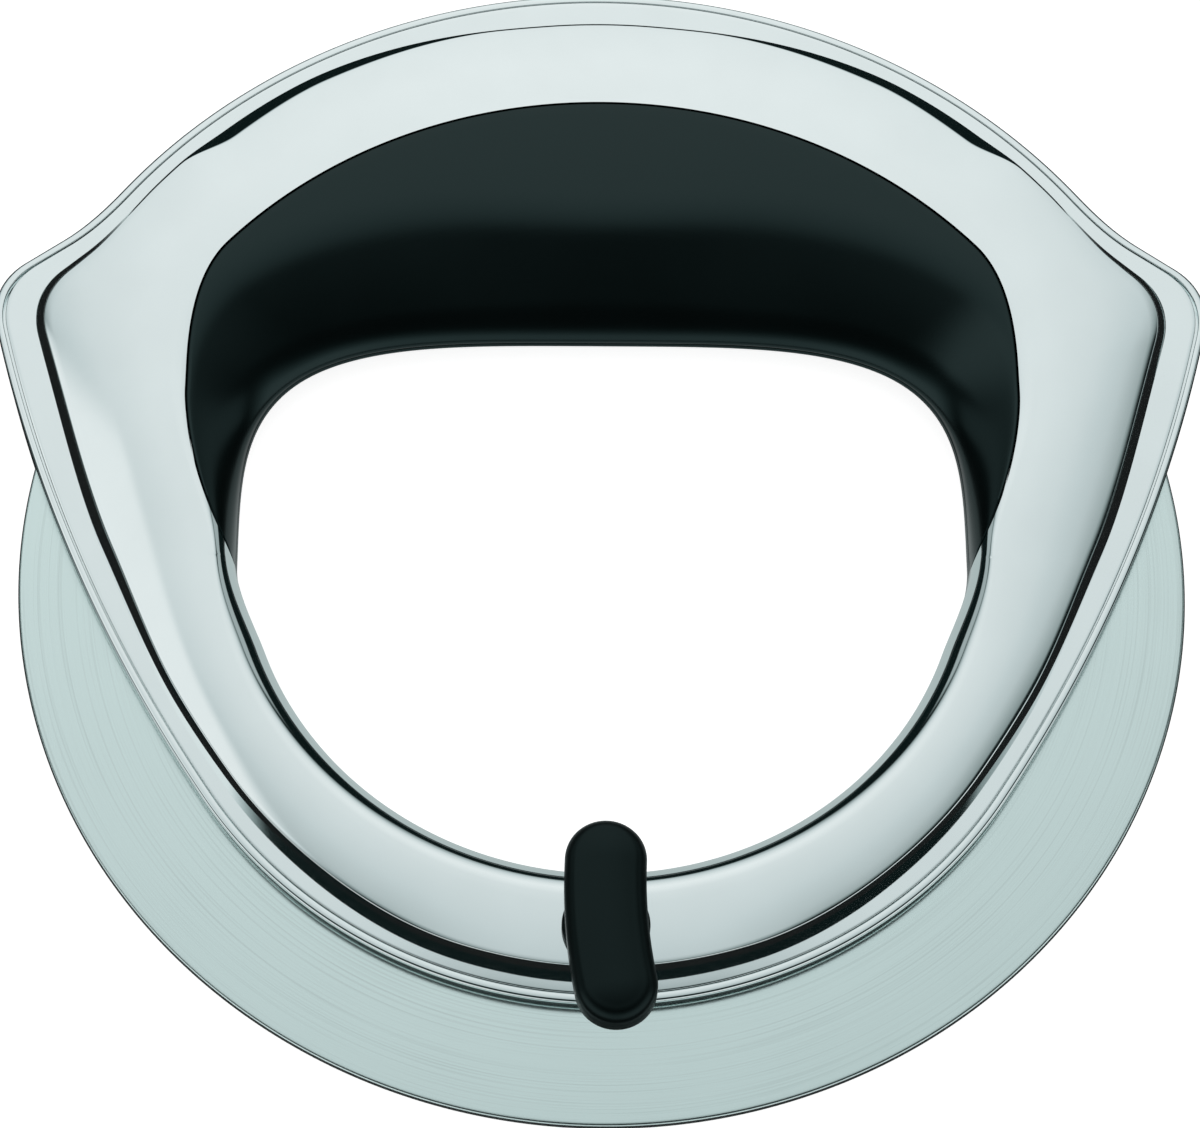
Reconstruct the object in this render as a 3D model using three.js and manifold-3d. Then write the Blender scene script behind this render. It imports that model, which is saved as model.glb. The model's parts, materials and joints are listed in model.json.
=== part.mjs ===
// Hubless pizza wheel: a ring blade that turns inside a two-part hand housing.
// Millimetres, +Z up. The wheel lies on its back, so the blade's axis is vertical, +Y points to the
// palm edge and the lock lever is on the upper face. Pieces are drawn about the middle of the blade.

import * as THREE from 'three';
import { mergeVertices } from 'three/addons/utils/BufferGeometryUtils.js';
import Module from 'manifold-3d';

const wasm = await Module();
wasm.setup();

const degrees = Math.PI / 180;

// Blade
const bladeRadius = 75;
const bladeWidth = 20.4;
const bladeThickness = 1.2;
const bevelWidth = 2.4;
const edgeThickness = 0.2;

// Housing outline, seen along the blade's axis
const palmMargin = 6;
const palmCentre = 4.7;
const lowMargin = 5.6;
const flankRadius = 214;
const flankStart = -34 * degrees;
const neckDrop = 1.4;
const neckAngle = 54 * degrees;
const neckRound = 2;
const neckSpan = 75 * degrees;
const earRound = 7;

// Hand opening
const ringDepth = 8.85;
const openingRise = 2.3;
const openingFlare = 1.55;
const flareAngle = 18 * degrees;
const palmBand = 53.5;
const openingSquareness = 3.8;

// Crown of each half, as heights from the middle plane
const crownHeight = 6.2;
const landWidth = 1.2;
const wallTopLow = 2;
const wallTopPalm = 0.8;
const roundLow = 4.2;
const ridgeInset = 27.7;
const ridgeStart = -8 * degrees;
const ridgeEnd = 50 * degrees;
const slopeShare = 0.85;
const slopeStart = 0.45;
const domeTilt = 10 * degrees;
const stepLow = 0.9;
const stepEar = 1.7;
const stepEnd = 26 * degrees;
const stepEase = 0.5;
const flangeLow = 1.8;
const flangePalm = 3.6;
const flangeStart = 30 * degrees;
const flangeEnd = 85 * degrees;
const shellWall = 0.7;

// Grip crescent
const gripBand = 19.5;
const gripSide = 6.9;
const gripCorner = 6.2;
const gripSideEnd = 80 * degrees;
const gripTaper = 2.9;
const taperStart = 22 * degrees;
const taperSpan = 13.6 * degrees;
const taperPower = 1.55;
const gripEnd = -2 * degrees;

// Frame plates, spacer, guide ring and glide rings
const plateThickness = 1;
const setbackLow = 2.4;
const setbackPalm = 5;
const lipWidth = 1.2;
const lipRound = 0.45;
const spacerInset = 1;
const spacerEnd = 20 * degrees;
const glideWidth = 1.7;
const glideInset = 2.05;
const glideDepth = 0.55;

// Lock lever, its shaft and its latch
const pivotInset = 8.6;
const leverLength = 25.9;
const leverShift = 0.8;
const leverWidth = 10;
const leverThickness = 4.2;
const leverBend = 65;
const leverTilt = 3.5 * degrees;
const leverBevel = 1.4;
const shaftRadius = 1.6;
const shaftDepth = 2.6;
const collarRadius = 5.4;
const collarRise = 1.3;
const spigotRadius = 2.6;
const hubRadius = 2.6;
const hubHeight = 1.5;
const hubRise = 0.55;
const fingerReach = 5.2;
const fingerWidth = 2.6;
const fingerThickness = 0.8;
const lockAngle = 20 * degrees;
const clipThickness = 0.35;
const washerThickness = 0.3;
const keeperRadius = 1.2;
const keeperHeadRadius = 2;
const roofLength = 3.4;
const roofThickness = 0.8;

// Fasteners, with their angles in degrees
const guideRivetInset = 3.1;
const guideRivetAngles = [-150, -115, -45, 70, 110];
const spacerRivetAngles = [60, 78, 102, 120];
const dowelAngle = 26;
const screwSpacing = 12;
const screwInset = 15;
const rivetRadius = 1;
const rivetHeadRadius = 1.4;
const rivetHeadHeight = 0.5;
const screwRadius = 1.3;
const screwHeadRadius = 2.4;
const screwHeadHeight = 0.6;
const screwLength = 3.8;
const dowelRadius = 1.5;
const hookWidth = 6;
const hookThickness = 0.9;
const hookToe = 2.2;

// Clearances
const runGap = 0.25;
const boreGap = 0.3;
const guardGap = 1.2;
const seatGap = 0.1;
const fitGap = 0.3;
const partingGap = 0.1;

// Sizes worked out from the ones above
const bladeBore = bladeRadius - bladeWidth;
const palmRadius = bladeRadius + palmMargin;
const palmEdge = palmRadius + palmCentre;
const lowRadius = bladeBore + lowMargin;
const openingRadius = bladeBore - ringDepth;
const openingHalfWidth = openingRing(0) + openingFlare;
const openingTop = palmEdge - palmBand;
const ridgePalm = palmEdge - ridgeInset;
const gripRadius = palmEdge - gripBand;
const gripHalfWidth = openingHalfWidth + gripSide;
const plateBottom = bladeThickness / 2 + runGap;
const plateTop = plateBottom + plateThickness;
const flangeBottom = plateTop + seatGap;
const flangeTop = flangeBottom + shellWall;
const flangeEdge = lipWidth + seatGap;
const middleHeight = plateBottom - seatGap;
const guideRadius = bladeBore - boreGap;
const glideInner = bladeBore + glideInset;
const glideOuter = glideInner + glideWidth;
const spacerRadius = bladeRadius + guardGap;
const pivot = new THREE.Vector2(0, pivotInset - lowRadius);
const collarTop = crownHeight + collarRise;
const leverBase = collarTop + fitGap;
const hubBase = plateTop + hubRise;
const hubTop = hubBase + hubHeight;
const spigotBase = hubTop + washerThickness + 2 * fitGap;
const fingerBase = hubBase + (hubHeight - fingerThickness) / 2;
const keeperReach = fingerReach + fitGap + keeperRadius;
const keeper = pivot.clone().add(polar(keeperReach, lockAngle));
const roofBase = fingerBase + fingerThickness + fitGap;
const screwBottom = plateBottom - seatGap - screwHeadHeight;

// Materials
const polishedSteel = metal(0xc9d6d4, 0.08);
const brushedSteel = metal(0xc4cfcd, 0.35);
const plainSteel = metal(0xa9b2b1, 0.4);
const blackGrip = plastic(0x161c1d, 0.5);
const blackLever = plastic(0x14191a, 0.45);
const naturalAcetal = plastic(0xe6e4dc, 0.4);

function metal(color, roughness) {
  return new THREE.MeshStandardMaterial({ color, roughness, metalness: 1 });
}

function plastic(color, roughness) {
  return new THREE.MeshStandardMaterial({ color, roughness, metalness: 0 });
}

function polar(radius, angle) {
  return new THREE.Vector2(radius * Math.cos(angle), radius * Math.sin(angle));
}

function smoothMin(a, b, round) {
  const share = Math.max(round - Math.abs(a - b), 0) / round;
  return Math.min(a, b) - share * share * round / 4;
}

function smoothMax(a, b, round) {
  return -smoothMin(-a, -b, round);
}

function smoothStep(from, to, value) {
  return THREE.MathUtils.smoothstep(value, from, to);
}

// The housing is the same on its left and right: angles fold onto the right half
function fold(angle) {
  return Math.asin(Math.sin(angle));
}

// Radius of the housing's edge at an angle, moved in by an inset
function outline(angle, inset) {
  const turn = fold(angle);
  const sunk = palmCentre * Math.cos(turn);
  const palm = palmCentre * Math.sin(turn) + Math.sqrt((palmRadius - inset) ** 2 - sunk * sunk);
  const offset = flankRadius - lowRadius;
  const lean = offset * Math.cos(turn - flankStart);
  const reach = (flankRadius - inset) ** 2 - offset * offset;
  const flank = turn > flankStart ? Math.sqrt(lean * lean + reach) - lean : lowRadius - inset;
  const neckTurn = Math.min(Math.max(turn - neckAngle, -neckSpan), 0);
  const neck = (palmRadius - neckDrop - inset) / Math.cos(neckTurn);
  const top = turn < neckAngle ? smoothMax(palm, neck, neckRound) : palm;
  return smoothMin(flank, top, earRound);
}

// Circle of the opening's lower half, whose centre lies a little towards the palm
function openingRing(turn) {
  const sunk = openingRise * Math.cos(turn);
  return openingRise * Math.sin(turn) + Math.sqrt(openingRadius ** 2 - sunk * sunk);
}

// Radius of the hand opening at the middle plane
function opening(angle) {
  const turn = fold(angle);
  if (turn <= 0) {
    return openingRing(turn) + openingFlare * smoothStep(-flareAngle, 0, turn);
  }
  const across = (Math.cos(turn) / openingHalfWidth) ** openingSquareness;
  const up = (Math.sin(turn) / openingTop) ** openingSquareness;
  return (across + up) ** (-1 / openingSquareness);
}

// Radius where the crown's flat land starts, outside the rounding into the opening
function ridge(angle) {
  const turn = fold(angle);
  const low = openingRing(turn) + roundLow;
  return low + (ridgePalm - low) * smoothStep(ridgeStart, ridgeEnd, turn);
}

function wallTop(angle) {
  return wallTopLow + (wallTopPalm - wallTopLow) * smoothStep(ridgeStart, ridgeEnd, fold(angle));
}

// Inner edge of the frame plate
function plateEdge(angle) {
  const share = smoothStep(ridgeStart, ridgeEnd, fold(angle));
  return opening(angle) + setbackLow + (setbackPalm - setbackLow) * share;
}

function flangeWidth(angle) {
  return flangeLow + (flangePalm - flangeLow) * smoothStep(flangeStart, flangeEnd, fold(angle));
}

// Width of the steep step from the flange up to the dome
function stepWidth(angle) {
  return stepLow + (stepEar - stepLow) * smoothStep(flankStart, stepEnd, fold(angle));
}

// Radius of the joint line between the grip and the polished shell
function gripLine(angle) {
  const turn = fold(angle);
  const side = gripHalfWidth / Math.cos(Math.min(turn, gripSideEnd));
  const taper = Math.max(taperStart - turn, 0) / taperSpan;
  return smoothMin(gripRadius, side, gripCorner) - gripTaper * taper ** taperPower;
}

// Facets of the crown's step, dome and rounding into the opening, of the blade and of the grip's joint line
const stepSteps = 3;
const domeSteps = 3;
const roundSteps = 4;
const bladeSteps = 72;
const gripSteps = 48;

// Section angles in degrees: wide steps, and narrow ones round the ears
const wideStep = 9;
const narrowStep = 3;
const earFrom = 18;
const earTo = 36;
const angles = sectionAngles();

function sectionAngles() {
  const right = [];
  for (let a = -90; a <= 90; a += a >= earFrom && a < earTo ? narrowStep : wideStep) {
    right.push(a);
  }
  const left = right.slice(1, -1).reverse().map((a) => 180 - a);
  return [...right, ...left].map((a) => a * degrees);
}

// Upper side of one half: flange, steep step, shallow dome, flat land and rounding into the opening
function crownLine(angle) {
  const foot = outline(angle, flangeEdge + flangeWidth(angle));
  const shoulder = foot - stepWidth(angle);
  const step = new THREE.CubicBezierCurve(
    new THREE.Vector2(foot, flangeTop),
    new THREE.Vector2(foot - stepEase * stepWidth(angle), flangeTop),
    new THREE.Vector2(shoulder + stepEase * stepWidth(angle), domeHeight(angle, 1)),
    new THREE.Vector2(shoulder, domeHeight(angle, 1)),
  );
  const line = [new THREE.Vector2(outline(angle, flangeEdge), flangeTop), ...step.getPoints(stepSteps)];
  line.push(...domeLine(angle, 0), ...roundLine(angle, 0));
  line.push(new THREE.Vector2(opening(angle), partingGap));
  return line;
}

// Inner side of a shell, one wall thickness in
function linerLine(angle) {
  const foot = outline(angle, flangeEdge + flangeWidth(angle)) - shellWall;
  const shoulder = foot - stepWidth(angle);
  const line = [new THREE.Vector2(outline(angle, flangeEdge), flangeBottom)];
  line.push(new THREE.Vector2(foot, flangeBottom));
  line.push(new THREE.Vector2(shoulder, domeHeight(angle, 1) - shellWall));
  line.push(...domeLine(angle, shellWall), ...roundLine(angle, shellWall));
  line.push(new THREE.Vector2(opening(angle) + shellWall, partingGap));
  return line;
}

// Width of the dome from the land to the shoulder, and its height at a share of that width
function domeWidth(angle) {
  const foot = outline(angle, flangeEdge + flangeWidth(angle));
  return foot - stepWidth(angle) - ridge(angle) - landWidth;
}

function domeHeight(angle, share) {
  return crownHeight - share * share * Math.tan(domeTilt) * domeWidth(angle) / 2;
}

// Dome from next to the shoulder to the land, sunk by a wall thickness
function domeLine(angle, wall) {
  const line = [];
  for (let i = domeSteps - 1; i >= 0; i -= 1) {
    const share = i / domeSteps;
    const radius = ridge(angle) + landWidth + share * domeWidth(angle);
    line.push(new THREE.Vector2(radius, domeHeight(angle, share) - wall));
  }
  return line;
}

// Way down from the land into the opening, sunk by a wall thickness: an even round next to the lever,
// and mostly a bend into a straight slope at the palm
function roundLine(angle, wall) {
  const width = ridge(angle) - opening(angle) - wall;
  const rise = crownHeight - wall - wallTop(angle);
  const slope = slopeShare * smoothStep(ridgeStart, ridgeEnd, fold(angle));
  const line = [];
  for (let i = 0; i <= roundSteps; i += 1) {
    const turn = (i / roundSteps) * 90 * degrees;
    const across = Math.sin(turn);
    const drop = (1 - slope) * (1 - Math.cos(turn)) + slope * slopeDrop(across);
    line.push(new THREE.Vector2(ridge(angle) - width * across, wallTop(angle) + rise * (1 - drop)));
  }
  return line;
}

// Share of the height lost at a share of the way: a bend that runs on straight
function slopeDrop(across) {
  const bent = Math.min(across, slopeStart);
  return (2 * across * bent - bent * bent) / (2 * slopeStart - slopeStart ** 2);
}

// The same line moved outwards by a distance
function offsetLine(line, distance) {
  const normals = [];
  for (let i = 0; i + 1 < line.length; i += 1) {
    const along = line[i + 1].clone().sub(line[i]).normalize();
    normals.push(new THREE.Vector2(along.y, -along.x));
  }
  return line.map((point, i) => {
    const before = normals[Math.max(i - 1, 0)];
    const after = normals[Math.min(i, normals.length - 1)];
    const mean = before.clone().add(after).normalize();
    return point.clone().addScaledVector(mean, distance / mean.dot(after));
  });
}

// Closed ring through one section for each angle, on the front (side 1) or the rear (side -1)
function loft(section, side) {
  const sections = angles.map(section);
  const count = sections[0].length;
  const positions = [];
  sections.forEach((points, i) => {
    points.forEach((point) => {
      const flat = polar(point.x, angles[i]);
      positions.push(flat.x, flat.y, point.y * side);
    });
  });
  const index = [];
  for (let i = 0; i < sections.length; i += 1) {
    const next = (i + 1) % sections.length;
    for (let j = 0; j < count; j += 1) {
      const k = (j + 1) % count;
      const [a, b, c, d] = [i * count + j, next * count + j, next * count + k, i * count + k];
      index.push(...(side > 0 ? [a, b, c, a, c, d] : [a, c, b, a, d, c]));
    }
  }
  const geometry = new THREE.BufferGeometry();
  geometry.setAttribute('position', new THREE.Float32BufferAttribute(positions, 3));
  geometry.setIndex(index);
  return geometry;
}

// Solids for joining and cutting
function solid(geometry) {
  const bare = geometry.clone();
  bare.deleteAttribute('normal');
  bare.deleteAttribute('uv');
  const merged = mergeVertices(bare, 1e-5);
  const vertProperties = Float32Array.from(merged.attributes.position.array);
  const triVerts = Uint32Array.from(merged.index.array);
  return new wasm.Manifold(new wasm.Mesh({ numProp: 3, vertProperties, triVerts }));
}

function toGeometry(body) {
  const mesh = body.getMesh();
  const geometry = new THREE.BufferGeometry();
  geometry.setAttribute('position', new THREE.Float32BufferAttribute(mesh.vertProperties, 3));
  geometry.setIndex([...mesh.triVerts]);
  return geometry;
}

// Upright round bar between two heights
function bar(radius, bottom, top, at, segments = 14) {
  const geometry = new THREE.CylinderGeometry(radius, radius, top - bottom, segments);
  geometry.rotateX(Math.PI / 2);
  geometry.translate(at.x, at.y, (bottom + top) / 2);
  return geometry;
}

// Flat piece of an outline between two heights
function plate(shape, bottom, top, curveSegments = 12) {
  const depth = top - bottom;
  const geometry = new THREE.ExtrudeGeometry(shape, { depth, bevelEnabled: false, curveSegments });
  geometry.translate(0, 0, bottom);
  return geometry;
}

// Ring turned about the blade's axis from a closed section of radius and height pairs
function turned(section, segments) {
  const points = [...section, section[0]].map(([radius, height]) => new THREE.Vector2(radius, height));
  return new THREE.LatheGeometry(points, segments).rotateX(Math.PI / 2);
}

// Round piece on an upright axis through a point, from radius and height pairs that start and end on it
function turnedAt(section, at, segments = 10) {
  const points = section.map(([radius, height]) => new THREE.Vector2(radius, height));
  const geometry = new THREE.LatheGeometry(points, segments).rotateX(Math.PI / 2);
  return geometry.translate(at.x, at.y, 0);
}

function boxAt(size, centre, angle, at) {
  const geometry = new THREE.BoxGeometry(size.x, size.y, size.z);
  geometry.translate(centre.x, centre.y, centre.z);
  geometry.rotateZ(angle);
  return geometry.translate(at.x, at.y, 0);
}

function cut(body, tools) {
  return tools.reduce((left, tool) => left.subtract(solid(tool)), body);
}

// Places of the fasteners
const guideRivetRing = guideRadius - guideRivetInset;
const guideRivets = guideRivetAngles.map((a) => polar(guideRivetRing, a * degrees));
const spacerRivetRing = spacerRadius + rivetHeadRadius + seatGap;
const spacerRivets = spacerRivetAngles.map((a) => polar(spacerRivetRing, a * degrees));
const screwRow = openingTop + screwInset;
const gripScrews = [-1, 0, 1].map((i) => new THREE.Vector2(i * screwSpacing, screwRow));
const dowelRing = spacerRadius + 2 * dowelRadius + seatGap;
const earDowels = [dowelAngle, 180 - dowelAngle].map((a) => polar(dowelRing, a * degrees));
const hookPlace = polar(spacerRadius + hookThickness, 90 * degrees);

// Blade
function makeBlade() {
  const half = bladeThickness / 2;
  const edge = edgeThickness / 2;
  return turned([
    [bladeBore, -half],
    [bladeRadius - bevelWidth, -half],
    [bladeRadius, -edge],
    [bladeRadius, edge],
    [bladeRadius - bevelWidth, half],
    [bladeBore, half],
  ], bladeSteps);
}

// Frame plate with its raised lip and the groove for the glide ring
function makeFrame(side, holes) {
  const grooveTop = plateBottom + glideDepth;
  const lipTop = flangeTop - seatGap / 2;
  const ring = loft((angle) => [
    [plateEdge(angle), plateBottom],
    [glideInner - seatGap, plateBottom],
    [glideInner - seatGap, grooveTop],
    [glideOuter + seatGap, grooveTop],
    [glideOuter + seatGap, plateBottom],
    [outline(angle, 0), plateBottom],
    [outline(angle, 0), lipTop - lipRound],
    [outline(angle, lipRound), lipTop],
    [outline(angle, lipWidth), lipTop],
    [outline(angle, lipWidth), plateTop],
    [plateEdge(angle), plateTop],
  ].map(([radius, height]) => new THREE.Vector2(radius, height)), side);
  const tools = holes.map(({ at, radius }) => bar(radius + fitGap / 2, -crownHeight, crownHeight, at));
  return cut(solid(ring), tools);
}

// Glide ring that sits in the frame plate's groove and faces the blade
function makeGlideRing(side) {
  const face = bladeThickness / 2 + seatGap;
  const back = plateBottom + glideDepth - seatGap;
  const section = [[glideInner, face], [glideOuter, face], [glideOuter, back], [glideInner, back]];
  return loft(() => section.map(([radius, height]) => new THREE.Vector2(radius, height)), side);
}

// Guide ring that the blade's bore runs on, clear of the grip screws' heads
function makeGuideRing() {
  const floor = guideRadius - ringDepth + setbackLow;
  const ring = loft((angle) => {
    const inner = Math.max(plateEdge(angle), floor);
    return [
      new THREE.Vector2(inner, -middleHeight),
      new THREE.Vector2(guideRadius, -middleHeight),
      new THREE.Vector2(guideRadius, middleHeight),
      new THREE.Vector2(inner, middleHeight),
    ];
  }, 1);
  const holes = guideRivets.map((at) => ({ at, radius: rivetRadius }));
  holes.push({ at: keeper, radius: keeperRadius });
  holes.push(...gripScrews.map((at) => ({ at, radius: screwHeadRadius })));
  const tools = holes.map(({ at, radius }) => bar(radius + fitGap / 2, -crownHeight, crownHeight, at));
  return cut(solid(ring), tools);
}

// Spacer that closes the guard between the two lips from ear to ear
function makeSpacer() {
  const span = angles.filter((angle) => angle >= spacerEnd && angle <= Math.PI - spacerEnd);
  const outer = span.map((angle) => polar(outline(angle, spacerInset), angle));
  const inner = span.map((angle) => polar(spacerRadius, angle)).reverse();
  const holes = spacerRivets.map((at) => ({ at, radius: rivetRadius }));
  holes.push(...earDowels.map((at) => ({ at, radius: dowelRadius })));
  const tools = holes.map(({ at, radius }) => bar(radius + fitGap / 2, -crownHeight, crownHeight, at));
  tools.push(hookSlot());
  return cut(solid(plate(new THREE.Shape([...outer, ...inner]), -middleHeight, middleHeight)), tools);
}

// Hollow polished shell of one half, open where the grip goes
function makeShell(side) {
  const skin = loft((angle) => [...crownLine(angle), ...linerLine(angle).reverse()], side);
  const room = gripPrism(fitGap);
  const body = cut(solid(skin), [room]);
  return side > 0 ? cut(body, [bar(spigotRadius + fitGap, 0, 2 * crownHeight, pivot)]) : body;
}

// Upright block inside the grip's joint line, grown by a gap
function gripPrism(gap) {
  const start = gripEnd - gap / openingRadius;
  const points = [];
  for (let i = 0; i <= gripSteps; i += 1) {
    const angle = start + (Math.PI - 2 * start) * (i / gripSteps);
    points.push(polar(gripLine(angle) + gap, angle));
  }
  return plate(new THREE.Shape(points), -2 * crownHeight, 2 * crownHeight);
}

// Grip half: solid under the crown line, stepped over the frame plate's inner edge, with screw bores
// and pockets over the rivet heads
function makeGrip(side, screws, rivets) {
  const block = loft((angle) => {
    const line = crownLine(angle);
    const step = plateEdge(angle) - fitGap;
    line.push(new THREE.Vector2(step, partingGap));
    line.push(new THREE.Vector2(step, flangeBottom));
    line.push(new THREE.Vector2(line[0].x, flangeBottom));
    return line;
  }, side);
  const body = solid(block).intersect(solid(gripPrism(0)));
  const boreEnd = screwLength + fitGap;
  const pocketEnd = flangeBottom + rivetHeadHeight + fitGap;
  const bores = screws.map((at) => bar(screwRadius + fitGap / 2, -boreEnd, boreEnd, at));
  const pockets = rivets.map((at) => bar(rivetHeadRadius + fitGap, -pocketEnd, pocketEnd, at));
  return cut(body, [...bores, ...pockets]);
}

// Screw that holds a grip half to its frame plate, head between the plates
function makeGripScrew(side, at) {
  const headTop = screwBottom + screwHeadHeight;
  const geometry = turnedAt([
    [0, screwBottom],
    [screwHeadRadius, screwBottom],
    [screwHeadRadius, headTop],
    [screwRadius, headTop],
    [screwRadius, screwLength],
    [0, screwLength],
  ], new THREE.Vector2(0, 0));
  if (side < 0) {
    geometry.rotateX(Math.PI);
  }
  return geometry.translate(at.x, at.y, 0);
}

// Rivet through the rear frame plate, head inside the rear shell
function makeRivet(at) {
  const headTop = -flangeBottom;
  return turnedAt([
    [0, headTop - rivetHeadHeight],
    [rivetHeadRadius, headTop - rivetHeadHeight],
    [rivetHeadRadius, headTop],
    [rivetRadius, headTop],
    [rivetRadius, middleHeight],
    [0, middleHeight],
  ], at);
}

// Dowel that lines the two frame plates up at an ear
function makeDowel(at) {
  return bar(dowelRadius, -plateTop, plateTop, at, 16);
}

// Hook at the palm edge: hangs from the front plate and grips behind the rear plate
function makePalmHook() {
  const stem = plateBottom - seatGap + plateTop + fitGap + hookThickness;
  const size = new THREE.Vector3(hookWidth, hookThickness, stem);
  const top = plateBottom - seatGap;
  const stemBox = boxAt(size, new THREE.Vector3(0, 0, top - stem / 2), 0, hookPlace);
  const toe = new THREE.Vector3(hookWidth, hookThickness + hookToe, hookThickness);
  const toePlace = new THREE.Vector3(0, -hookToe / 2, top - stem + hookThickness / 2);
  return solid(stemBox).add(solid(boxAt(toe, toePlace, 0, hookPlace)));
}

function hookSlot() {
  const size = new THREE.Vector3(hookWidth + 2 * fitGap, hookThickness + 2 * fitGap, 2 * crownHeight);
  return boxAt(size, new THREE.Vector3(), 0, hookPlace);
}

// Keeper hook on the rear plate, whose roof holds the latch finger down
function makeKeeper() {
  const headTop = -flangeBottom;
  const roofTop = roofBase + roofThickness;
  const stem = turnedAt([
    [0, headTop - rivetHeadHeight],
    [keeperHeadRadius, headTop - rivetHeadHeight],
    [keeperHeadRadius, headTop],
    [keeperRadius, headTop],
    [keeperRadius, roofTop],
    [0, roofTop],
  ], keeper);
  const size = new THREE.Vector3(roofLength, 2 * keeperRadius, roofThickness);
  const centre = new THREE.Vector3(keeperReach - roofLength / 2, 0, roofBase + roofThickness / 2);
  return solid(stem).add(solid(boxAt(size, centre, lockAngle, pivot)));
}

// Lever: a bar bent along a wide arc, with round ends and bevelled edges, a little longer on its outer end
function makeLever() {
  const half = leverWidth / 2 - leverBevel;
  const reach = (leverLength - leverWidth) / 2;
  const lowTurn = Math.PI + (reach + leverShift) / leverBend;
  const highTurn = Math.PI - (reach - leverShift) / leverBend;
  const low = polar(leverBend, lowTurn);
  const high = polar(leverBend, highTurn);
  const shape = new THREE.Shape();
  shape.absarc(leverBend, 0, leverBend + half, highTurn, lowTurn, false);
  shape.absarc(low.x + leverBend, low.y, half, lowTurn, lowTurn + Math.PI, false);
  shape.absarc(leverBend, 0, leverBend - half, lowTurn, highTurn, true);
  shape.absarc(high.x + leverBend, high.y, half, highTurn - Math.PI, highTurn, false);
  const geometry = new THREE.ExtrudeGeometry(shape, {
    depth: leverThickness - 2 * leverBevel,
    bevelThickness: leverBevel,
    bevelSize: leverBevel,
    bevelSegments: 3,
    curveSegments: 6,
  });
  geometry.translate(0, 0, leverBase + leverBevel);
  geometry.rotateZ(leverTilt);
  geometry.translate(pivot.x, pivot.y, 0);
  const socketTop = leverBase + shaftDepth + fitGap;
  return cut(solid(geometry), [bar(shaftRadius + fitGap / 2, leverBase - fitGap, socketTop, pivot)]);
}

// Collar that saddles the crown under the lever, with a spigot down through the shell
function makeCollar() {
  const crown = loft((angle) => {
    const line = offsetLine(crownLine(angle), fitGap);
    const last = line[line.length - 1];
    line.push(new THREE.Vector2(last.x, -crownHeight));
    line.push(new THREE.Vector2(line[0].x, -crownHeight));
    return line;
  }, 1);
  const saddle = solid(bar(collarRadius, flangeTop, collarTop, pivot, 40)).subtract(solid(crown));
  const whole = saddle.add(solid(bar(spigotRadius, spigotBase, collarTop, pivot, 24)));
  const hubRoom = bar(hubRadius + fitGap, 0, spigotBase, pivot, 24);
  return cut(whole, [hubRoom, bar(shaftRadius + fitGap / 2, 0, 2 * crownHeight, pivot)]);
}

// Shaft from the front plate up into the lever
function makeShaft() {
  return bar(shaftRadius, plateBottom + seatGap, leverBase + shaftDepth, pivot);
}

// Latch: a hub on the shaft with one finger
function makeLatch() {
  const hub = solid(bar(hubRadius, hubBase, hubTop, pivot, 24));
  const size = new THREE.Vector3(fingerReach, fingerWidth, fingerThickness);
  const centre = new THREE.Vector3(fingerReach / 2, 0, fingerBase + fingerThickness / 2);
  const whole = hub.add(solid(boxAt(size, centre, lockAngle, pivot)));
  return cut(whole, [bar(shaftRadius + fitGap / 2, 0, crownHeight, pivot)]);
}

// Flat ring round the shaft
function shaftRing(bottom, thickness) {
  const shape = new THREE.Shape();
  shape.absarc(pivot.x, pivot.y, hubRadius, 0, 2 * Math.PI, false);
  const bore = new THREE.Path();
  bore.absarc(pivot.x, pivot.y, shaftRadius + fitGap / 2, 0, 2 * Math.PI, true);
  shape.holes.push(bore);
  return plate(shape, bottom, bottom + thickness, 8);
}

const wheel = new THREE.Group();

function piece(name, shape, material) {
  const geometry = shape instanceof wasm.Manifold ? toGeometry(shape) : shape;
  const mesh = new THREE.Mesh(geometry, material);
  mesh.name = name;
  wheel.add(mesh);
}

const screwHoles = gripScrews.map((at) => ({ at, radius: screwRadius }));
const dowelHoles = earDowels.map((at) => ({ at, radius: dowelRadius }));
const rivetHoles = [...guideRivets, ...spacerRivets].map((at) => ({ at, radius: rivetRadius }));
const keeperHole = { at: keeper, radius: keeperRadius };
const shaftHole = { at: pivot, radius: shaftRadius };

piece('blade_ring', makeBlade(), brushedSteel);
piece('front_frame', makeFrame(1, [...screwHoles, ...dowelHoles, keeperHole, shaftHole]), polishedSteel);
const rearFrame = makeFrame(-1, [...screwHoles, ...dowelHoles, ...rivetHoles, keeperHole]);
piece('rear_frame', cut(rearFrame, [hookSlot()]), polishedSteel);
piece('front_shell', makeShell(1), polishedSteel);
piece('rear_shell', makeShell(-1), polishedSteel);
piece('front_grip', makeGrip(1, gripScrews, []), blackGrip);
piece('rear_grip', makeGrip(-1, gripScrews, guideRivets), blackGrip);
piece('guide_ring', makeGuideRing(), naturalAcetal);
piece('front_glide_ring', makeGlideRing(1), naturalAcetal);
piece('rear_glide_ring', makeGlideRing(-1), naturalAcetal);
piece('guard_spacer', makeSpacer(), plainSteel);
piece('palm_hook', makePalmHook(), plainSteel);
piece('keeper_hook', makeKeeper(), plainSteel);
piece('lock_lever', makeLever(), blackLever);
piece('lever_collar', makeCollar(), blackLever);
piece('lock_shaft', makeShaft(), plainSteel);
piece('lock_latch', makeLatch(), plainSteel);
piece('shaft_circlip', shaftRing(hubBase - seatGap - clipThickness, clipThickness), plainSteel);
piece('wave_washer', shaftRing(hubTop + fitGap, washerThickness), plainSteel);
earDowels.forEach((at, i) => piece(`ear_dowel_${i + 1}`, makeDowel(at), plainSteel));
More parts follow.
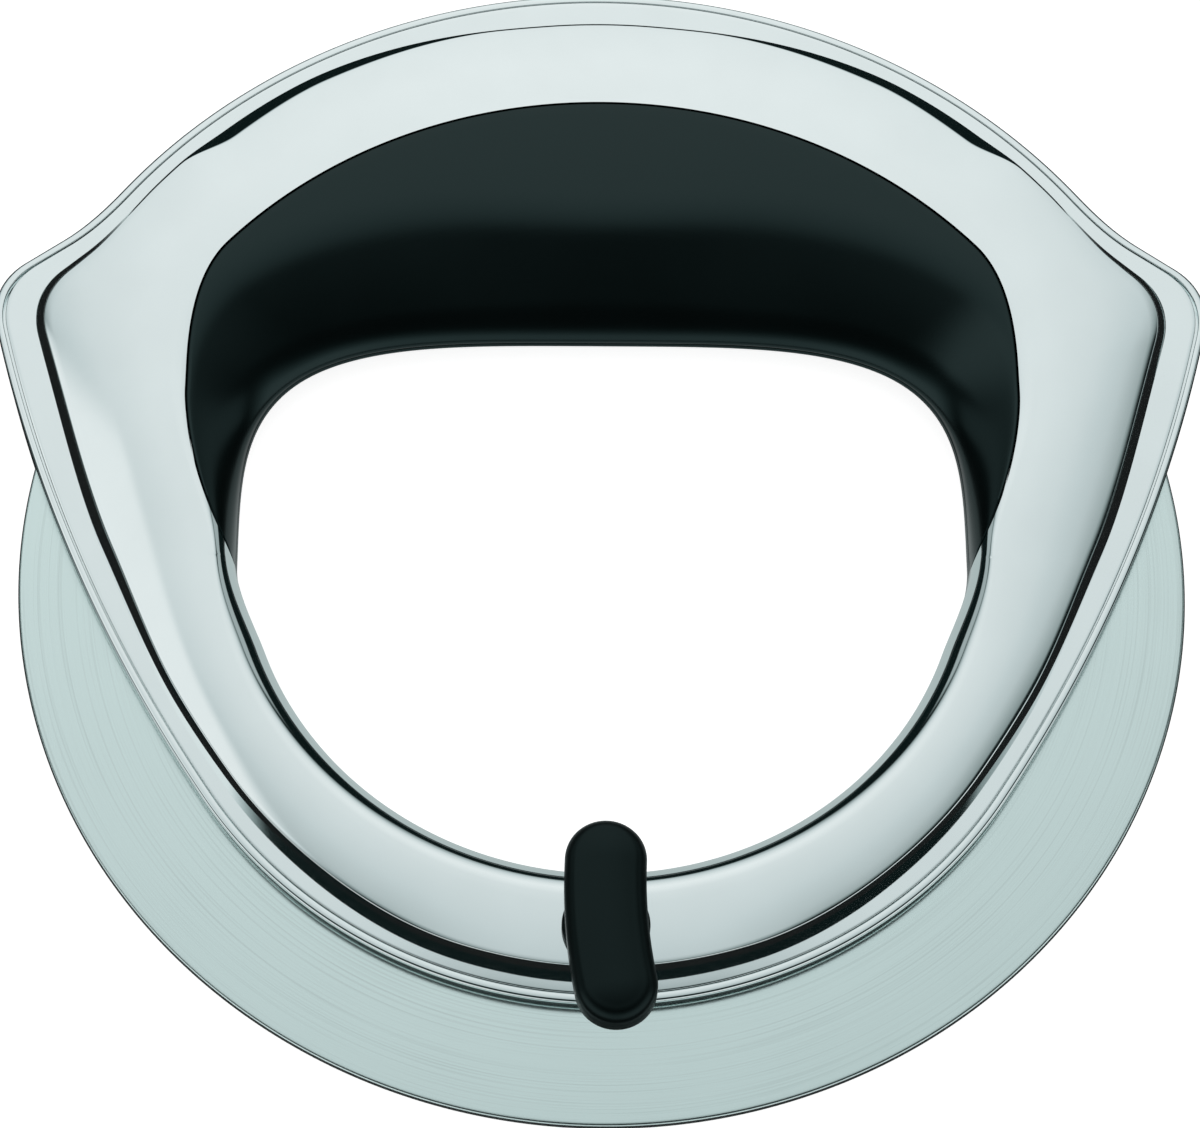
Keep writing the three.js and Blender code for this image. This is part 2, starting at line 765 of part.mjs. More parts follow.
gripScrews.forEach((at, i) => piece(`front_grip_screw_${i + 1}`, makeGripScrew(1, at), plainSteel));
gripScrews.forEach((at, i) => piece(`rear_grip_screw_${i + 1}`, makeGripScrew(-1, at), plainSteel));
guideRivets.forEach((at, i) => piece(`guide_rivet_${i + 1}`, makeRivet(at), plainSteel));
spacerRivets.forEach((at, i) => piece(`spacer_rivet_${i + 1}`, makeRivet(at), plainSteel));

// Origin: under the middle of the wheel's box, on the surface that it lies on
wheel.position.set(0, (bladeRadius - palmEdge) / 2, crownHeight);

export default wheel;
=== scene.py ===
"""Hubless pizza wheel: fine surfaces, finishes and studio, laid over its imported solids.

Lengths are in metres and +Z runs along the blade's axis. Sections are pairs of radius and height
about the middle of the blade, and angles run from +X towards the palm edge at +Y.
"""

import json
import math

import bmesh
import bpy
import numpy as np
from bpy.props import FloatProperty, FloatVectorProperty, PointerProperty
from mathutils import Matrix, Vector


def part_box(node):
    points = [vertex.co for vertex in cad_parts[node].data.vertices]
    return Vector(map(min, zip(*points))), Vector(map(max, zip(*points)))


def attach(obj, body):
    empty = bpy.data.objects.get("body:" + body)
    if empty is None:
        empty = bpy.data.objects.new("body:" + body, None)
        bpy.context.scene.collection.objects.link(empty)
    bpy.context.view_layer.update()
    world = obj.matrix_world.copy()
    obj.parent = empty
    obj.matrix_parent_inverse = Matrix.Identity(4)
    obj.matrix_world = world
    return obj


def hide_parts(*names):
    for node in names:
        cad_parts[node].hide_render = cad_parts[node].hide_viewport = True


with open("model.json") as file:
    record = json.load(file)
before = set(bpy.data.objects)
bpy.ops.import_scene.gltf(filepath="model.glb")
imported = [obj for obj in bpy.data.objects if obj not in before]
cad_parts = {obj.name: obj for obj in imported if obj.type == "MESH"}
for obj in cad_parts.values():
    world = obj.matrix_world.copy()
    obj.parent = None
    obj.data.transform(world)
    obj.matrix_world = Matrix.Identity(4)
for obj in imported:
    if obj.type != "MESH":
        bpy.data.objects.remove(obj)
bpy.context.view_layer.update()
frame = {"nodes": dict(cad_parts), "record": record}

bl_info = {
    "name": "Pizza wheel",
    "version": (1, 0, 0),
    "blender": (4, 5, 0),
    "location": "3D View > Sidebar > Pizza wheel",
    "description": "Makes a hubless pizza wheel with its finishes and a small studio",
    "category": "Add Mesh",
}

MM = 0.001
blade_low, blade_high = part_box("blade_ring")
MIDDLE = (blade_low + blade_high) / 2
HALF_SIDES = {"front": 1, "rear": -1}

# Stops round the housing: an angle in degrees with a width or radius in mm, a tilt in degrees or a share
FLANGE_WIDTHS = ((-72, 1.8), (-48, 2.5), (-22, 2.0), (0, 2.8), (20, 3.8), (42, 2.9), (60, 2.7), (85, 4.6))
RAMP_WIDTHS = (
    (-80, 0.6), (-50, 0.5), (-20, 0.8), (8, 1.3), (27, 1.4),
    (38, 0.25), (45, 0.3), (51, 2.1), (62, 1.7), (80, 0.3),
)
RAMP_TILTS = ((-80, 56), (-45, 52), (-10, 48), (20, 46), (50, 26))
RIDGE_RADII = ((30, 66), (90, 51.5))
DOME_TILTS = ((-80, 3), (-60, 6), (-20, 8.5), (10, 7.5))
FLANGE_DROOPS = ((-80, 1), (-50, 0))

# Shares and small allowances of the surfaces
STEP_ROUNDING = 0.12
FLANGE_SUPPORTS = (0.15, 0.9)
GRIP_END_STEP = math.radians(0.02)
THINNEST_GRIP = 0.05 * MM
COLLAR_CLEARANCE = 0.05 * MM
MERGE_DISTANCE = 0.002 * MM
SLIVER_LENGTH = 0.001 * MM

# How finely the surfaces are divided
RING_STEPS = 720
GRIP_STEPS = 400
COLLAR_STEPS = 96
STEP_POINTS = 7
DOME_POINTS = 16
ROUND_POINTS = 18
FINE_ROUND_POINTS = 60
GRIP_POINTS = 40
BEVEL_POINTS = 16
LEVER_EDGE_RINGS = 9
LEVER_TOP_RINGS = 8
LEVER_SIDE_POINTS = 24
LEVER_END_POINTS = 32


def linear(hex_colour):
    """sRGB hex colour as linear values."""
    shares = [int(hex_colour[i : i + 2], 16) / 255 for i in (1, 3, 5)]
    return tuple(c / 12.92 if c <= 0.04045 else ((c + 0.055) / 1.055) ** 2.4 for c in shares)


def length(name, description, millimetres):
    return FloatProperty(name=name, description=description, default=millimetres * MM, unit="LENGTH")


def angle(name, description, degrees):
    return FloatProperty(name=name, description=description, default=math.radians(degrees), subtype="ANGLE")


def number(name, description, value):
    return FloatProperty(name=name, description=description, default=value)


def colour(name, description, hex_colour):
    return FloatVectorProperty(
        name=name, description=description, default=linear(hex_colour), subtype="COLOR", min=0, max=1
    )


class BladeSizes(bpy.types.PropertyGroup):
    radius: length("Radius", "From the middle to the cutting edge", 75)
    width: length("Width", "From the bore to the cutting edge", 20.4)
    thickness: length("Thickness", "Full thickness of the blank", 1.2)
    bevel: length("Bevel", "Width of the ground edge on each face", 2.4)
    edge: length("Edge", "Thickness left at the cutting edge", 0.2)
    bevel_power: number("Bevel power", "How full the ground edge is", 24)


class OutlineSizes(bpy.types.PropertyGroup):
    palm_radius: length("Palm radius", "Radius of the palm edge", 81)
    palm_centre: length("Palm centre", "How far its centre lies towards the palm", 4.7)
    low_radius: length("Low radius", "Radius of the edge next to the lever", 60.2)
    flank_radius: length("Flank radius", "Radius of the long side arcs", 214)
    flank_start: angle("Flank start", "Where the side arcs leave the low arc", -34)
    neck_drop: length("Neck drop", "How far the straight below each ear cuts in", 1.4)
    neck_angle: angle("Neck angle", "Direction that the straight faces", 54)
    neck_span: angle("Neck span", "Furthest turn from that direction", 75)
    neck_round: length("Neck round", "Softening between straight and palm edge", 2)
    ear_round: length("Ear round", "Softening of each ear's point", 7)
    lip_width: length("Lip width", "Width of the frame's raised lip", 1.2)
    lip_round: length("Lip round", "Rounding of the lip's outer edge", 0.4)
    seat_gap: length("Seat gap", "Gap between the lip and the shell's flange", 0.1)


class CrownSizes(bpy.types.PropertyGroup):
    height: length("Height", "Height of the crown over the middle plane", 6.2)
    land: length("Land", "Width of the flat land round the opening", 1.2)
    wall_low: length("Wall low", "Height of the opening's upright wall next to the lever", 2)
    wall_palm: length("Wall palm", "Height of the opening's upright wall under the grip", 0.45)
    round_low: length("Round low", "Rounding into the opening next to the lever", 4.2)
    ridge_start: angle("Ridge start", "Where the land leaves the opening", -2)
    ridge_end: angle("Ridge end", "Where the land has left it fully", 38)
    slope_share: number("Slope share", "How far the palm side is a slope", 0.95)
    slope_start: number("Slope start", "Where the slope runs on straight", 0.3)
    edge_width: length("Edge width", "Width of the rounding between the grip's slope and the opening", 4.5)
    edge_drop: length("Edge drop", "Height of that rounding", 1.35)
    flange_top: length("Flange top", "Height of the flange", 2.65)
    flange_droop: length("Flange droop", "How far the flange's rim hangs next to the lever", 0.12)
    wall: length("Wall", "Thickness of the pressed shell", 0.7)
    parting: length("Parting", "Half of the gap between the two halves", 0.1)
    plate_low: length("Plate low", "Height of the frame plate's blade side", 0.85)
    plate_top: length("Plate top", "Height of the frame plate's upper side", 1.85)
    setback_low: length("Setback low", "From the opening to the frame plate next to the lever", 2.4)
    setback_palm: length("Setback palm", "From the opening to the frame plate at the palm", 5)


class OpeningSizes(bpy.types.PropertyGroup):
    radius: length("Radius", "Radius of the opening's lower half", 45.75)
    rise: length("Rise", "How far its centre lies towards the palm", 2.3)
    flare: length("Flare", "Extra room at the sides", 1.55)
    flare_angle: angle("Flare angle", "Stretch over which the sides widen", 18)
    top: length("Top", "From the middle to the grip's edge", 32.2)
    squareness: number("Squareness", "Power of the upper corners", 3.8)


class GripSizes(bpy.types.PropertyGroup):
    radius: length("Radius", "Radius of the joint line at the palm", 66.2)
    side: length("Side", "From the opening's side to the joint line", 6.9)
    corner: length("Corner", "Softening of the joint line's corners", 6.2)
    side_end: angle("Side end", "Furthest angle of the straight sides", 80)
    taper: length("Taper", "How far each end draws in", 2.9)
    taper_start: angle("Taper start", "Where the ends begin to draw in", 22)
    taper_span: angle("Taper span", "Stretch over which they draw in once", 13.6)
    taper_power: number("Taper power", "How fast the ends draw in", 1.55)
    end: angle("End", "Angle of each end", -2)
    gap: length("Gap", "Groove between grip and shell", 0.15)
    gap_fade: length("Gap fade", "Grip width under which the groove narrows", 6)
    edge: length("Edge", "Rounding of the grip's edges", 0.3)


class LeverSizes(bpy.types.PropertyGroup):
    pivot: length("Pivot", "From the middle to the lever's pivot", 51.6)
    length: length("Length", "Overall length", 25.9)
    shift: length("Shift", "How far its middle lies outside the pivot", 0.8)
    width: length("Width", "Overall width", 10)
    thickness: length("Thickness", "Overall thickness", 4.2)
    bend: length("Bend", "Radius that the lever is bent along", 65)
    tilt: angle("Tilt", "Turn of the locked lever", 3.5)
    bevel: length("Bevel", "Width of the soft upper edge", 1.7)
    bevel_drop: length("Bevel drop", "Height of the soft upper edge", 1.5)
    pillow: length("Pillow", "Rise of the top towards its middle line", 0.25)
    base: length("Base", "Height of the underside", 7.8)
    foot: length("Foot", "Rounding of the underside's edge", 0.3)
    foot_bend: length("Foot bend", "How far the middle of that rounding lies in and up", 0.09)
    collar_radius: length("Collar radius", "Radius of the collar under the lever", 5.4)
    collar_top: length("Collar top", "Height of the collar", 7.5)
    collar_round: length("Collar round", "Rounding of the collar's upper edge", 0.5)


class FinishColours(bpy.types.PropertyGroup):
    polished_steel: colour("Polished steel", "Mirror-polished shells and lips", "#E8F1F1")
    brushed_steel: colour("Brushed steel", "Blade brushed in circles", "#E2F3F1")
    plain_steel: colour("Plain steel", "Fasteners and inner fittings", "#A9B2B1")
    grip_plastic: colour("Grip plastic", "Moulded grip halves", "#050A0A")
    lever_plastic: colour("Lever plastic", "Moulded lever and collar", "#060B0B")
    acetal: colour("Acetal", "Guide and glide rings", "#E6E4DC")


class WheelSettings(bpy.types.PropertyGroup):
    blade: PointerProperty(type=BladeSizes)
    outline: PointerProperty(type=OutlineSizes)
    crown: PointerProperty(type=CrownSizes)
    opening: PointerProperty(type=OpeningSizes)
    grip: PointerProperty(type=GripSizes)
    lever: PointerProperty(type=LeverSizes)
    colours: PointerProperty(type=FinishColours)


# Outline and section of the housing

def fold(turn):
    """The housing is the same on its left and right: angles fold onto the right half."""
    return np.arcsin(np.sin(turn))


def smooth_step(start, end, value):
    share = np.clip((value - start) / (end - start), 0, 1)
    return share * share * (3 - 2 * share)


def smooth_min(a, b, round_by):
    share = np.maximum(round_by - np.abs(a - b), 0) / round_by
    return np.minimum(a, b) - share * share * round_by / 4


def eased(stops, turn):
    """Value at an angle, eased from one pair of angle and value to the next."""
    turn = np.degrees(fold(turn))
    value = stops[0][1]
    for (start, before), (end, after) in zip(stops, stops[1:]):
        value = value + (after - before) * smooth_step(start, end, turn)
    return value


def outline(wheel, turn, inset):
    """Radius of the housing's edge, moved in by an inset."""
    s = wheel.outline
    turn = fold(turn)
    palm = s.palm_centre * np.sin(turn)
    palm = palm + np.sqrt((s.palm_radius - inset) ** 2 - (s.palm_centre * np.cos(turn)) ** 2)
    offset = s.flank_radius - s.low_radius
    lean = offset * np.cos(turn - s.flank_start)
    reach = (s.flank_radius - inset) ** 2 - offset * offset
    flank = np.where(turn > s.flank_start, np.sqrt(lean * lean + reach) - lean, s.low_radius - inset)
    neck_turn = np.clip(turn - s.neck_angle, -s.neck_span, 0)
    neck = (s.palm_radius - s.neck_drop - inset) / np.cos(neck_turn)
    top = np.where(turn < s.neck_angle, -smooth_min(-palm, -neck, s.neck_round), palm)
    return smooth_min(flank, top, s.ear_round)


def opening_ring(wheel, turn):
    """Circle of the opening's lower half."""
    s = wheel.opening
    return s.rise * np.sin(turn) + np.sqrt(s.radius**2 - (s.rise * np.cos(turn)) ** 2)


def opening(wheel, turn):
    """Radius of the hand opening at the middle plane."""
    s = wheel.opening
    turn = fold(turn)
    low = opening_ring(wheel, turn) + s.flare * smooth_step(-s.flare_angle, 0, turn)
    half_width = opening_ring(wheel, 0) + s.flare
    upper = np.maximum(turn, 0)
    across = (np.cos(upper) / half_width) ** s.squareness
    up = (np.sin(upper) / s.top) ** s.squareness
    return np.where(turn <= 0, low, (across + up) ** (-1 / s.squareness))


def palm_share(wheel, turn):
    """How far an angle lies on the palm side: 0 next to the lever, 1 under the grip."""
    return smooth_step(wheel.crown.ridge_start, wheel.crown.ridge_end, fold(turn))


def ridge(wheel, turn):
    """Radius where the way down into the opening starts."""
    low = opening_ring(wheel, fold(turn)) + wheel.crown.round_low
    return low + (eased(RIDGE_RADII, turn) * MM - low) * palm_share(wheel, turn)


def grip_line(wheel, turn):
    """Radius of the joint line between the grip and the polished shell."""
    s = wheel.grip
    turn = fold(turn)
    half_width = opening_ring(wheel, 0) + wheel.opening.flare + s.side
    side = half_width / np.cos(np.minimum(turn, s.side_end))
    taper = np.maximum(s.taper_start - turn, 0) / s.taper_span
    return smooth_min(s.radius, side, s.corner) - s.taper * taper**s.taper_power


def plate_edge(wheel, turn):
    """Radius of the frame plate's inner edge."""
    s = wheel.crown
    return opening(wheel, turn) + s.setback_low + (s.setback_palm - s.setback_low) * palm_share(wheel, turn)


def slope_drop(s, across):
    """Share of the height lost at a share of the way: a bend that runs on straight."""
    bent = np.minimum(across, s.slope_start)
    return (2 * across * bent - bent * bent) / (2 * s.slope_start - s.slope_start**2)


def way_down(wheel, turn, wall, stop, count):
    """Round edge next to the lever or slope under the grip, down into the opening, as radii and heights."""
    s = wheel.crown
    start = ridge(wheel, turn)
    width = start - opening(wheel, turn) - wall
    reach = np.clip((start - stop) / width, 0, 1)
    across = np.sin(np.linspace(0, np.arcsin(reach), count))
    palm = palm_share(wheel, turn)
    slope = s.slope_share * palm
    lost = (1 - slope) * (1 - np.sqrt(1 - across**2)) + slope * slope_drop(s, across)
    radii = np.maximum(start - width * across, stop)
    near = np.clip(1 - (radii - start + width) / s.edge_width, 0, 1)
    rounded = s.edge_drop * palm * (1 - np.sqrt(1 - near**2))
    top = s.wall_low + (s.wall_palm - s.wall_low) * palm + s.edge_drop * palm
    return radii, s.height - (s.height - wall - top) * lost - rounded


def crown_line(wheel, turn, wall=0.0, stop=0.0, round_points=ROUND_POINTS):
    """Steep step, shallow dome, flat land and way down into the opening at one angle, as radii and heights.

    A wall thickness sinks the line, and a stop radius ends it early."""
    s = wheel.crown
    lip = wheel.outline.lip_width + wheel.outline.seat_gap
    foot = outline(wheel, turn, lip + eased(FLANGE_WIDTHS, turn) * MM) - wall
    ramp = eased(RAMP_WIDTHS, turn) * MM
    rise = math.tan(math.radians(eased(RAMP_TILTS, turn)))
    shoulder = foot - ramp
    land = ridge(wheel, turn) + s.land
    drop = math.tan(math.radians(eased(DOME_TILTS, turn))) * (shoulder - land) / 2
    soft = STEP_ROUNDING * ramp
    ramp_top = s.height - drop

    def dome_at(radius):
        return s.height - drop * ((radius - land) / (shoulder - land)) ** 2

    t = np.linspace(0, 1, STEP_POINTS)
    step = np.concatenate([[foot, foot], shoulder + soft * (1 - 2 * t)])
    bend = (1 - t) ** 2 * (ramp_top - soft * rise) + 2 * t * (1 - t) * ramp_top
    bend = bend + t * t * dome_at(shoulder - soft)
    step_rise = np.concatenate([[s.flange_top, ramp_top - ramp * rise], bend])
    dome = np.linspace(shoulder - soft, max(land, stop), DOME_POINTS)[1:]
    dome_rise = dome_at(dome)
    down, down_rise = way_down(wheel, turn, wall, stop, round_points)
    heights = np.concatenate([step_rise, dome_rise, np.minimum(down_rise, dome_rise[-1])])
    return np.concatenate([step, dome, down]), heights - wall


def crown_height(wheel, x, y):
    """Height of the crown over a point, given from the middle of the blade."""
    radii, heights = crown_line(wheel, math.atan2(y, x), round_points=FINE_ROUND_POINTS)
    return float(np.interp(math.hypot(x, y), radii[::-1], heights[::-1]))


def quarter_arc(centre, radius, start, count=5):
    """Quarter circle from an angle, turning towards the middle of the section."""
    turns = start + np.linspace(0, math.pi / 2, count)
    return [(centre[0] + radius * math.cos(t), centre[1] + radius * math.sin(t)) for t in turns]


# Meshes

def finish_mesh(name, points, faces, sharp_angle):
    """Object with smooth faces and sharp edges, placed about the middle of the blade."""
    mesh = bpy.data.meshes.new(name)
    mesh.from_pydata([tuple(p) for p in points], [], faces)
    work = bmesh.new()
    work.from_mesh(mesh)
    bmesh.ops.remove_doubles(work, verts=work.verts, dist=MERGE_DISTANCE)
    bmesh.ops.dissolve_degenerate(work, edges=work.edges, dist=SLIVER_LENGTH)
    work.to_mesh(mesh)
    work.free()
    mesh.shade_smooth()
    mesh.set_sharp_from_angle(angle=math.radians(sharp_angle))
    piece = bpy.data.objects.new(name, mesh)
    piece.location = MIDDLE
    bpy.context.scene.collection.objects.link(piece)
    return piece


def grid_faces(rows, count, ring=True):
    """Faces between closed rows of points; in a ring, the last row joins the first."""
    faces = []
    for i in range(rows if ring else rows - 1):
        following = (i + 1) % rows
        for j in range(count):
            k = (j + 1) % count
            faces.append((i * count + j, following * count + j, following * count + k, i * count + k))
    return faces


def loft(name, turns, sections, side=1, ring=True, sharp_angle=35):
    """Skin through one section for each angle, on the front (side 1) or the rear (side -1)."""
    rows = len(turns)
    count = len(sections[0])
    points = []
    for turn, section in zip(turns, sections):
        points += [(r * math.cos(turn), r * math.sin(turn), z * side) for r, z in section]
    faces = grid_faces(rows, count, ring)
    if not ring:
        faces.append(tuple(range(count)))
        faces.append(tuple(range((rows - 1) * count, rows * count))[::-1])
    if side < 0:
        faces = [face[::-1] for face in faces]
    return finish_mesh(name, points, faces, sharp_angle)


def ring_turns(count):
    return np.linspace(-math.pi / 2, 1.5 * math.pi, count, endpoint=False)


def place(piece, material, body, slot, *nodes):
    """Gives a piece its finish and its place on the frame."""
    piece.data.materials.append(material)
    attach(piece, body)
    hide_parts(*nodes)


# Materials

WHITE = (*linear("#FFFFFF"), 1)
COOL_SHEEN = (*linear("#CEFFFF"), 1)
TABLE_WHITE = (*linear("#F3F3F3"), 1)
TABLE_PAINTED_REFLECTION = (*linear("#F3FFFF"), 1)


def feed(tree, node, inputs):
    """Links or sets a node's inputs. A node given as a value stands for its first output."""
    for key, value in inputs.items():
        if isinstance(value, bpy.types.Node):
            value = value.outputs[0]
        if isinstance(value, bpy.types.NodeSocket):
            tree.links.new(value, node.inputs[key])
        else:
            node.inputs[key].default_value = value


def add(tree, kind, inputs=None, **settings):
    """Adds a node with its settings and inputs."""
    node = tree.nodes.new(kind)
    for key, value in settings.items():
        setattr(node, key, value)
    feed(tree, node, inputs or {})
    return node


def new_material(name, **values):
    """Material with its shader's constant values set; returns it with its tree and shader."""
    material = bpy.data.materials.new(name)
    material.use_nodes = True
    shader = material.node_tree.nodes["Principled BSDF"]
    for key, value in values.items():
        shader.inputs[key.replace("_", " ")].default_value = value
    return material, material.node_tree, shader


def set_ramp(node, stops):
    """Sets a colour ramp from positions and grey levels or colours."""
    elements = node.color_ramp.elements
    while len(elements) < len(stops):
        elements.new(1)
    for element, (position, value) in zip(elements, stops):
        element.position = position
        element.color = (*value, 1) if isinstance(value, tuple) else (value, value, value, 1)


def shaded(base, share):
    """Stops of a ramp from a darker share of a colour to the colour itself."""
    return [(0.3, tuple(c * share for c in base)), (0.7, base)]


def make_polished_steel(colours):
    """Stainless steel, pressed and mirror-polished: clear reflections, faint buffing marks and smears."""
    smear_size = 9 * MM
    buff_size = 1.1 * MM
    wave_size = 14 * MM
    wave_depth = 0.25 * MM
    material, tree, shader = new_material("Polished stainless steel", Metallic=1.0)
    position = add(tree, "ShaderNodeTexCoord").outputs["Object"]
    smear = add(tree, "ShaderNodeTexNoise", {"Vector": position, "Scale": 1 / smear_size, "Detail": 4.0})
    tint = add(tree, "ShaderNodeValToRGB", {"Fac": smear})
    set_ramp(tint, shaded(tuple(colours.polished_steel), 0.975))
    buff = add(tree, "ShaderNodeTexNoise", {"Vector": position, "Scale": 1 / buff_size, "Detail": 3.0})
    rough = add(tree, "ShaderNodeMapRange", {"Value": buff, "To Min": 0.045, "To Max": 0.085})
    wave = add(tree, "ShaderNodeTexNoise", {"Vector": position, "Scale": 1 / wave_size, "Detail": 1.0})
    bump = add(tree, "ShaderNodeBump", {"Height": wave, "Strength": 0.04, "Distance": wave_depth})
    feed(tree, shader, {"Base Color": tint, "Roughness": rough, "Normal": bump})
    return material


def make_brushed_steel(colours):
    """Stainless blade steel brushed in circles: fine streaks that stretch each reflection outwards.

    The real brush lines are about 0.05 mm apart. They are drawn 0.3 mm apart so that they show."""
    line_spacing = 0.3 * MM
    line_depth = 0.05 * MM
    cloud_size = 16 * MM
    base = tuple(colours.brushed_steel)
    material, tree, shader = new_material("Brushed blade steel", Metallic=1.0, Anisotropic=0.5)
    position = add(tree, "ShaderNodeTexCoord").outputs["Object"]
    axes = add(tree, "ShaderNodeSeparateXYZ", {"Vector": position}).outputs
    flat = add(tree, "ShaderNodeVectorMath", {0: position, 1: (1, 1, 0)}, operation="MULTIPLY")
    radius = add(tree, "ShaderNodeVectorMath", {0: flat}, operation="LENGTH").outputs["Value"]
    lever_side = add(tree, "ShaderNodeMath", {0: axes["Y"], 1: -1.0}, operation="MULTIPLY")
    turn = add(tree, "ShaderNodeMath", {0: axes["X"], 1: lever_side}, operation="ARCTAN2")
    across = add(tree, "ShaderNodeMath", {0: radius, 1: line_spacing}, operation="DIVIDE")
    polar = add(tree, "ShaderNodeCombineXYZ", {"X": turn, "Y": across})
    streaks = add(tree, "ShaderNodeTexNoise", {"Vector": polar, "Scale": 1.0, "Detail": 3.0})
    cloud = add(tree, "ShaderNodeTexNoise", {"Vector": position, "Scale": 1 / cloud_size, "Detail": 2.0})
    soft_cloud = add(tree, "ShaderNodeMapRange", {"Value": cloud, "To Min": 0.42, "To Max": 0.58})
    mixed = add(tree, "ShaderNodeMath", {0: streaks, 1: soft_cloud}, operation="ADD")
    tint = add(tree, "ShaderNodeValToRGB", {"Fac": mixed})
    set_ramp(tint, [(0.7, tuple(c * 0.82 for c in base)), (1.0, base)])
    rough = add(tree, "ShaderNodeMapRange", {"Value": streaks, "To Min": 0.2, "To Max": 0.3})
    bump = add(tree, "ShaderNodeBump", {"Height": streaks, "Strength": 0.02, "Distance": line_depth})
    around = add(tree, "ShaderNodeTangent", direction_type="RADIAL", axis="Z")
    feed(tree, shader, {"Base Color": tint, "Roughness": rough, "Normal": bump, "Tangent": around})
    return material


def make_plain_steel(colours):
    """Turned and stamped stainless steel: grey, with soft uneven gloss."""
    grain_size = 0.6 * MM
    material, tree, shader = new_material("Plain stainless steel", Metallic=1.0)
    position = add(tree, "ShaderNodeTexCoord").outputs["Object"]
    grain = add(tree, "ShaderNodeTexNoise", {"Vector": position, "Scale": 1 / grain_size, "Detail": 3.0})
    tint = add(tree, "ShaderNodeValToRGB", {"Fac": grain})
    set_ramp(tint, shaded(tuple(colours.plain_steel), 0.88))
    rough = add(tree, "ShaderNodeMapRange", {"Value": grain, "To Min": 0.3, "To Max": 0.45})
    feed(tree, shader, {"Base Color": tint, "Roughness": rough})
    return material


def make_black_plastic(name, base, gloss, rough_low, rough_high, grain_size):
    """Black ABS moulded in a finely eroded tool: near black, with a soft cool sheen and a fine grain."""
    grain_depth = 0.03 * MM
    cloud_size = 12 * MM
    material, tree, shader = new_material(name, IOR=1.5, Specular_IOR_Level=gloss, Specular_Tint=COOL_SHEEN)
    position = add(tree, "ShaderNodeTexCoord").outputs["Object"]
    grain = add(tree, "ShaderNodeTexNoise", {"Vector": position, "Scale": 1 / grain_size, "Detail": 2.0})
    cloud = add(tree, "ShaderNodeTexNoise", {"Vector": position, "Scale": 1 / cloud_size, "Detail": 2.0})
    tint = add(tree, "ShaderNodeValToRGB", {"Fac": cloud})
    set_ramp(tint, shaded(base, 0.85))
    rough = add(tree, "ShaderNodeMapRange", {"Value": cloud, "To Min": rough_low, "To Max": rough_high})
    bump = add(tree, "ShaderNodeBump", {"Height": grain, "Strength": 0.08, "Distance": grain_depth})
    feed(tree, shader, {"Base Color": tint, "Roughness": rough, "Normal": bump})
    return material


def make_acetal(colours):
    """Natural acetal, turned: milky white with a slight gloss."""
    cloud_size = 3 * MM
    material, tree, shader = new_material("Natural acetal", IOR=1.48)
    position = add(tree, "ShaderNodeTexCoord").outputs["Object"]
    cloud = add(tree, "ShaderNodeTexNoise", {"Vector": position, "Scale": 1 / cloud_size, "Detail": 2.0})
    tint = add(tree, "ShaderNodeValToRGB", {"Fac": cloud})
    set_ramp(tint, shaded(tuple(colours.acetal), 0.94))
    rough = add(tree, "ShaderNodeMapRange", {"Value": cloud, "To Min": 0.3, "To Max": 0.42})
    feed(tree, shader, {"Base Color": tint, "Roughness": rough})
    return material


def finish(name, maker, *values, **options):
    """Material by name, made the first time that a piece asks for it."""
    return bpy.data.materials.get(name) or maker(*values, **options)


# Pieces

class WHEEL_OT_blade(bpy.types.Operator):
    """Makes the ring blade with its ground edge"""

    bl_idname = "wheel.blade"
    bl_label = "Ring blade"

    def execute(self, context):
        wheel = context.scene.pizza_wheel
        s = wheel.blade
        half = s.thickness / 2
        across = np.sin(np.linspace(0, math.pi / 2, BEVEL_POINTS))
        radii = s.radius - s.bevel + s.bevel * across
        heights = half - (half - s.edge / 2) * across**s.bevel_power
        upper = [(s.radius - s.width, half), *zip(radii, heights)]
        section = [(r, -z) for r, z in upper] + upper[::-1]
        turns = ring_turns(RING_STEPS)
        blade = loft("ring_blade", turns, [section] * len(turns), sharp_angle=40)
        steel = finish("Brushed blade steel", make_brushed_steel, wheel.colours)
        place(blade, steel, "blade", "brushed_blade_steel", "blade_ring")
        return {"FINISHED"}


class WHEEL_OT_frames(bpy.types.Operator):
    """Makes the two frame plates with their round lips"""

    bl_idname = "wheel.frames"
    bl_label = "Frame plates"

    def execute(self, context):
        wheel = context.scene.pizza_wheel
        steel = finish("Polished stainless steel", make_polished_steel, wheel.colours)
        turns = ring_turns(RING_STEPS)
        sections = [self.section(wheel, turn) for turn in turns]
        for half, side in HALF_SIDES.items():
            plate = loft(f"{half}_frame_lip", turns, sections, side)
            place(plate, steel, "housing", "polished_steel", f"{half}_frame")
        return {"FINISHED"}

    def section(self, wheel, turn):
        """Flat plate with a raised lip at its rim."""
        s = wheel.outline
        crown = wheel.crown
        edge = outline(wheel, turn, 0)
        inner = plate_edge(wheel, turn)
        top = crown.flange_top - s.seat_gap / 2
        small = s.lip_round / 3
        section = [(inner, crown.plate_low)]
        section += quarter_arc((edge - small, crown.plate_low + small), small, -math.pi / 2)
        section += quarter_arc((edge - s.lip_round, top - s.lip_round), s.lip_round, 0)
        section += quarter_arc((edge - s.lip_width + small, top - small), small, math.pi / 2)
        section += [(edge - s.lip_width, crown.plate_top), (inner, crown.plate_top)]
        return section


